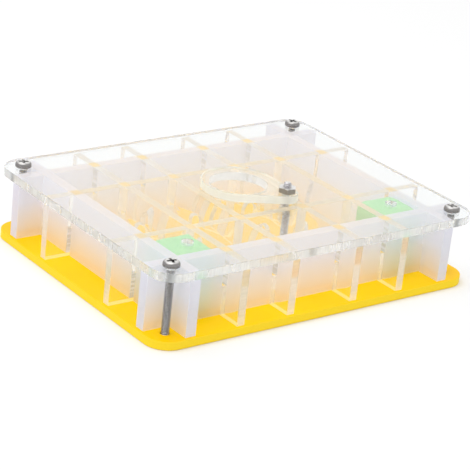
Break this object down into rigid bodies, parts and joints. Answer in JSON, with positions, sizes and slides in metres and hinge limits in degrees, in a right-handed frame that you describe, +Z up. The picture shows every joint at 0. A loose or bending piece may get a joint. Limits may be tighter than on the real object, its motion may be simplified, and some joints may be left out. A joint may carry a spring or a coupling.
{
  "type": "ant habitat",
  "caption": "Flat ant habitat: clear lid over an egg-crate of half-lapped clear and frosted panels on a yellow base, with water sponges and an access cover that swings on a screw.",
  "frame": {"origin": "centre of the base plate's underside, on the surface it stands on", "axes": "+X along the long side to the right, +Y from the front to the back, +Z up; the two sponges are in the front corners"},
  "size_m": [0.13, 0.103, 0.0325],
  "materials": {
    "yellow_acrylic": "opaque yellow sheet, polished faces, laser-cut edges",
    "clear_acrylic": "clear sheet, polished faces, laser-cut edges",
    "frosted_acrylic": "milky frosted sheet, satin faces",
    "zinc_steel": "bright zinc-plated steel fasteners",
    "green_sponge": "open-cell soft sponge"
  },
  "bodies": {
    "root": {"base_plate": "yellow_acrylic", "lid_plate": "clear_acrylic", "front_wall": "frosted_acrylic", "back_wall": "frosted_acrylic", "left_wall": "frosted_acrylic", "right_wall": "frosted_acrylic", "front_long_divider": "clear_acrylic", "back_long_divider": "clear_acrylic", "pivot_screw": "zinc_steel", "pivot_nut": "zinc_steel", "left_sponge": "green_sponge", "right_sponge": "green_sponge", "front_left_screw": "zinc_steel", "front_right_screw": "zinc_steel", "back_left_screw": "zinc_steel", "back_right_screw": "zinc_steel", "cross_divider_1": "clear_acrylic", "cross_divider_2": "clear_acrylic", "cross_divider_3": "clear_acrylic", "cross_divider_4": "clear_acrylic"},
    "cover": {"swing_cover": "clear_acrylic"}
  },
  "joints": [
    {"name": "cover_swing", "type": "hinge", "parent": "root", "child": "cover", "pos_m": [0.0091, -0.0151, 0.0275], "axis": [0, 0, 1], "range_deg": [-180, 180]}
  ]
}
